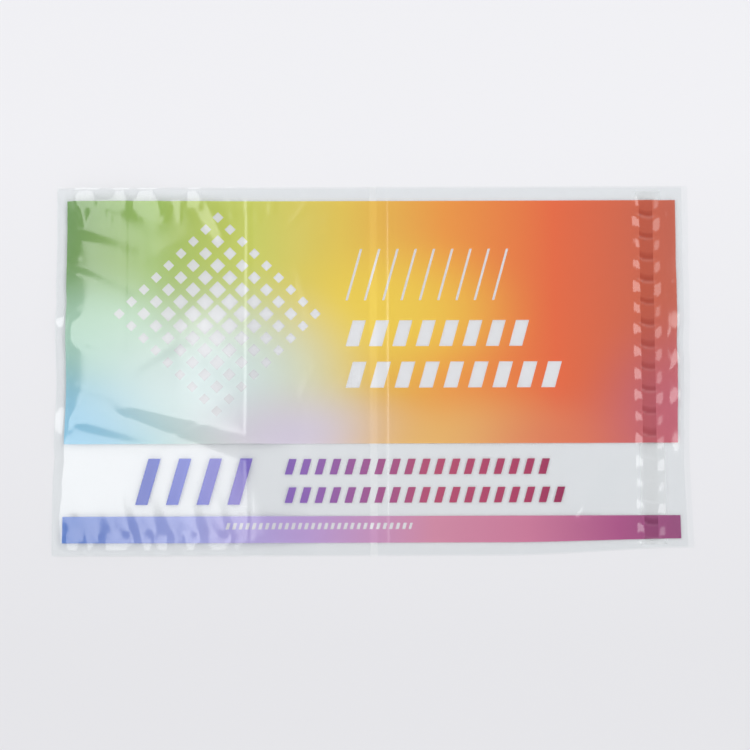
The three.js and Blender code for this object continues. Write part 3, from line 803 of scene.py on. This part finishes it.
def printedFilm():
    material, tree = newMaterial("printed polyethylene film")
    flatPlace = add(tree, "ShaderNodeAttribute", attribute_name="flatPlace").node.outputs["Vector"]
    web = add(tree, "ShaderNodeSeparateXYZ", {0: flatPlace}).node.outputs
    u, v = web["X"], web["Y"]
    share = add(tree, "ShaderNodeMapRange", {"Value": u, "From Min": printStart, "From Max": printEnd})
    blends = []
    for stops in (inkLook["fieldStops"], inkLook["bandStops"]):
        blends.append(add(tree, "ShaderNodeValToRGB", {0: share}))
        elements = blends[-1].node.color_ramp.elements
        while len(elements) < len(stops):
            elements.new(0.5)
        for element, (place, code) in zip(elements, stops):
            element.position, element.color = place, linear(code)
    fieldColour, bandColour = blends
    for wash in inkLook["washes"]:
        fieldColour = washOver(tree, fieldColour, u, v, wash)

    field = box(tree, u, v, printStart, printEnd, fieldBottomV, fieldTopV)
    band = box(tree, u, v, printStart, printEnd, bandBottomV, bandTopV)
    solid = add(tree, "ShaderNodeMath", {0: field, 1: band}, operation="MAXIMUM")
    bare = diamonds(tree, flatPlace)
    drawn = None
    for row in dashRows:
        marks = dashes(tree, u, v, row)
        if row["bare"]:
            bare = add(tree, "ShaderNodeMath", {0: bare, 1: marks}, operation="MAXIMUM")
        else:
            drawn = marks if drawn is None else add(tree, "ShaderNodeMath", {0: drawn, 1: marks}, operation="MAXIMUM")
    kept = add(tree, "ShaderNodeMath", {0: solid, 1: bare}, operation="SUBTRACT", use_clamp=True)
    inked = add(tree, "ShaderNodeMath", {0: kept, 1: drawn}, operation="MAXIMUM")

    strong = add(tree, "ShaderNodeGamma", {0: bandColour, 1: inkLook["drawnGamma"]})
    bandColour = add(tree, "ShaderNodeMix", {"Factor": drawn, "A": bandColour, "B": strong},
                     data_type="RGBA").node.outputs[2]
    ink = add(tree, "ShaderNodeMix", {"Factor": field, "A": bandColour, "B": fieldColour}, data_type="RGBA")
    # Painted shade: the ink over the adhesive is drawn deeper and darker, and lighter towards the pucker crests
    adhesiveShade = inkLook["shadeOverAdhesive"]
    taped = box(tree, u, v, adhesiveNearU, adhesiveFarU, -tapeEndV, tapeEndV)
    shadeOffCrests = add(tree, "ShaderNodeMapRange", {
        "Value": web["Z"], "From Min": 0, "From Max": adhesiveShade["liftedFrom"], "To Min": 1, "To Max": adhesiveShade["liftedShare"]})
    taped = add(tree, "ShaderNodeMath", {0: taped, 1: shadeOffCrests}, operation="MULTIPLY")
    shadedInk = add(tree, "ShaderNodeGamma", {0: ink.node.outputs[2], 1: adhesiveShade["gamma"]})
    shadedInk = add(tree, "ShaderNodeVectorMath", {0: shadedInk, "Scale": adhesiveShade["share"]}, operation="SCALE")
    colour = add(tree, "ShaderNodeMix", {"Factor": taped, "A": ink.node.outputs[2], "B": shadedInk},
                 data_type="RGBA").node.outputs[2]
    paler = add(tree, "ShaderNodeGamma", {0: colour, 1: inkLook["throughGamma"]})
    through = add(tree, "ShaderNodeBsdfTransparent", {0: paler})
    pigment = add(tree, "ShaderNodeBsdfDiffuse", {"Color": colour})
    printed = add(tree, "ShaderNodeMixShader", {0: inkLook["cover"], 1: through, 2: pigment})
    # Partly painted light: a thin white ink in the bare marks, which also lifts the shade the ink casts on the floor
    # beneath them
    white = add(tree, "ShaderNodeBsdfDiffuse", {"Color": linear(inkLook["white"]["colour"])})
    marked = add(tree, "ShaderNodeMath", {0: solid, 1: bare}, operation="MULTIPLY")
    marked = add(tree, "ShaderNodeMath", {0: marked, 1: inkLook["white"]["cover"]}, operation="MULTIPLY")
    unprinted = add(tree, "ShaderNodeMixShader", {0: marked, 1: hazyBody(tree, filmLook), 2: white})
    body = add(tree, "ShaderNodeMixShader", {0: inked, 1: unprinted, 2: printed})
    glossed(tree, body, filmLook, filmGrain(tree))
    return material


# Release film is cast, coated with silicone and milky
linerLook = {
    "tint": (1, 1, 1, 1),
    "haze": 0.2,
    "hazeColour": "#fafbfb",
    "ior": 1.5,
    "roughness": 0.12,
    "gloss": 0.6,
}
# The adhesive wets the film and the liner, so next to nothing mirrors at its faces
adhesiveLook = {
    "tint": (1, 1, 1, 1),
    "haze": 0.02,
    "hazeColour": "#faf7f0",
    "ior": 1.47,
    "roughness": 0.2,
    "gloss": 0.1,
}

filmPiece.data.materials.append(plainFilm("blown polyethylene film", {**filmLook, "gloss": filmLook["backGloss"]}))
filmPiece.data.materials.append(printedFilm())
tree, sockets = stripTree()
bothStrips = {
    "Pucker pitch": puckers["pitch"] * mm,
    "Pucker arc": -puckers["arc"] * mm,
    "Pucker width": tape["linerWidth"] / 2 * mm,
    "Length": 2 * tapeEndV * mm,
    "Steps along": 260,
}
linerPiece = makeStrip("tape_liner", tree, sockets, {
    **bothStrips, "Width": tape["linerWidth"] * mm, "Wall": tape["linerWall"] * mm, "Place": linerMiddleU * mm,
    "Middle height": (linerZ + tape["linerWall"] / 2) * mm, "Steps across": 15,
    "Pucker height": puckers["linerShare"] * puckers["height"] * mm,
}, plainFilm("silicone coated release film", linerLook))
adhesivePiece = makeStrip("tape_adhesive", tree, sockets, {
    **bothStrips, "Width": tape["adhesiveWidth"] * mm, "Wall": tape["adhesiveWall"] * mm,
    "Place": (adhesiveNearU + tape["adhesiveWidth"] / 2) * mm,
    "Middle height": (adhesiveZ + tape["adhesiveWall"] / 2) * mm, "Steps across": 9, "Pucker height": 0.0,
}, plainFilm("pressure sensitive acrylic adhesive", adhesiveLook))
for piece, node, slotName in ((filmPiece, "bag_film", "printed_film"), (linerPiece, "release_liner", "liner"),
                              (adhesivePiece, "adhesive_strip", "adhesive")):
    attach(piece, "root")
    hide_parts(node)
print("tape made and pieces placed")


studio = {
    "floor": "#f1f1f3",
    "frontShade": {"from": 0.11, "to": -0.13, "share": 0.91},  # painted shade: the card is drawn a little darker towards the front, where the studio's light falls off
    "floorSize": 8.0,
    "horizon": 1.27,
    "zenith": 0.42,
    "dusk": (0.55, 0.93),  # heights on the sky's sphere between which it darkens
    "sky": "#f8f8fa",
    "key": {"at": (-0.525, 0.26, 2.0), "aim": (-0.525, 0.26, 0), "size": (0.65, 0.72), "radiance": 3.0},
    "fill": {"at": (1.15, 0.1, 1.5), "aim": (0, 0, 0), "size": (0.5, 1.0), "radiance": 2.0},
}


def makeFloor():
    size = studio["floorSize"] / 2
    mesh = bpy.data.meshes.new("floor")
    mesh.from_pydata([(-size, -size, 0), (size, -size, 0), (size, size, 0), (-size, size, 0)], [], [(0, 1, 2, 3)])
    floor = bpy.data.objects.new("floor", mesh)
    bpy.context.scene.collection.objects.link(floor)
    material, tree = newMaterial("pale matt card")
    # Painted shade: the card's colour is scaled down towards the front
    place = add(tree, "ShaderNodeSeparateXYZ", {
        0: add(tree, "ShaderNodeTexCoord").node.outputs["Object"]}).node.outputs["Y"]
    share = add(tree, "ShaderNodeMapRange", {
        "Value": place, "From Min": studio["frontShade"]["to"], "From Max": studio["frontShade"]["from"],
        "To Min": studio["frontShade"]["share"], "To Max": 1.0})
    shadedTone = add(tree, "ShaderNodeVectorMath", {0: linear(studio["floor"])[:3], "Scale": share}, operation="SCALE")
    card = add(tree, "ShaderNodeBsdfDiffuse", {"Color": shadedTone})
    add(tree, "ShaderNodeOutputMaterial", {"Surface": card})
    mesh.materials.append(material)


def makeWorld():
    world = bpy.data.worlds.new("studio")
    world.use_nodes = True
    tree = world.node_tree
    tree.nodes.clear()
    direction = add(tree, "ShaderNodeTexCoord").node.outputs["Generated"]
    height = add(tree, "ShaderNodeSeparateXYZ", {0: direction}).node.outputs["Z"]
    level = add(tree, "ShaderNodeMapRange", {
        "Value": height, "From Min": studio["dusk"][0], "From Max": studio["dusk"][1],
        "To Min": studio["horizon"], "To Max": studio["zenith"]}, interpolation_type="SMOOTHSTEP")
    light = add(tree, "ShaderNodeBackground", {"Color": linear(studio["sky"]), "Strength": level})
    shown = add(tree, "ShaderNodeBackground", {"Color": linear(studio["floor"]), "Strength": 1.0})
    seen = add(tree, "ShaderNodeLightPath").node.outputs["Is Camera Ray"]
    mixed = add(tree, "ShaderNodeMixShader", {0: seen, 1: light, 2: shown})
    add(tree, "ShaderNodeOutputWorld", {"Surface": mixed})
    bpy.context.scene.world = world


def makeSoftbox(name, panel):  # a rectangle of even radiance
    lamp = bpy.data.lights.new(name, "AREA")
    lamp.shape = "RECTANGLE"
    lamp.size, lamp.size_y = panel["size"]
    lamp.energy = math.pi * panel["radiance"] * lamp.size * lamp.size_y
    holder = bpy.data.objects.new(name, lamp)
    holder.location = panel["at"]
    up = (Vector(panel["at"]) - Vector(panel["aim"])).normalized()
    across = Vector((0, 1, 0)).cross(up).normalized()
    holder.rotation_euler = Matrix((across, up.cross(across), up)).transposed().to_euler()
    bpy.context.scene.collection.objects.link(holder)


camera = {  # fitted to the corners of the bag in the photograph's 750 x 750 frame
    "elevation": 83.7,
    "roll": -0.17,
    "distance": 0.9,
    "aim": (1.1, -2.6),
    "lens": 90.2,
    "sensor": 36,
}


def makeCamera():
    data = bpy.data.cameras.new("camera")
    data.sensor_width, data.lens = camera["sensor"], camera["lens"]
    holder = bpy.data.objects.new("camera", data)
    elevation = math.radians(camera["elevation"])
    back = Vector((0, -math.cos(elevation), math.sin(elevation)))
    turn = (-back).to_track_quat("-Z", "Y").to_matrix() @ Matrix.Rotation(math.radians(camera["roll"]), 3, "Z")
    holder.rotation_euler = turn.to_euler()
    holder.location = Vector((*camera["aim"], 0)) * mm + back * camera["distance"]
    bpy.context.scene.collection.objects.link(holder)
    bpy.context.scene.camera = holder


makeFloor()
makeWorld()
makeSoftbox("key softbox", studio["key"])
makeSoftbox("fill softbox", studio["fill"])
makeCamera()
bpy.context.scene.view_settings.view_transform = "Standard"
bpy.context.scene.cycles.transparent_max_bounces = 24  # both panels, the tape and the ink lie over each other
print("studio made")
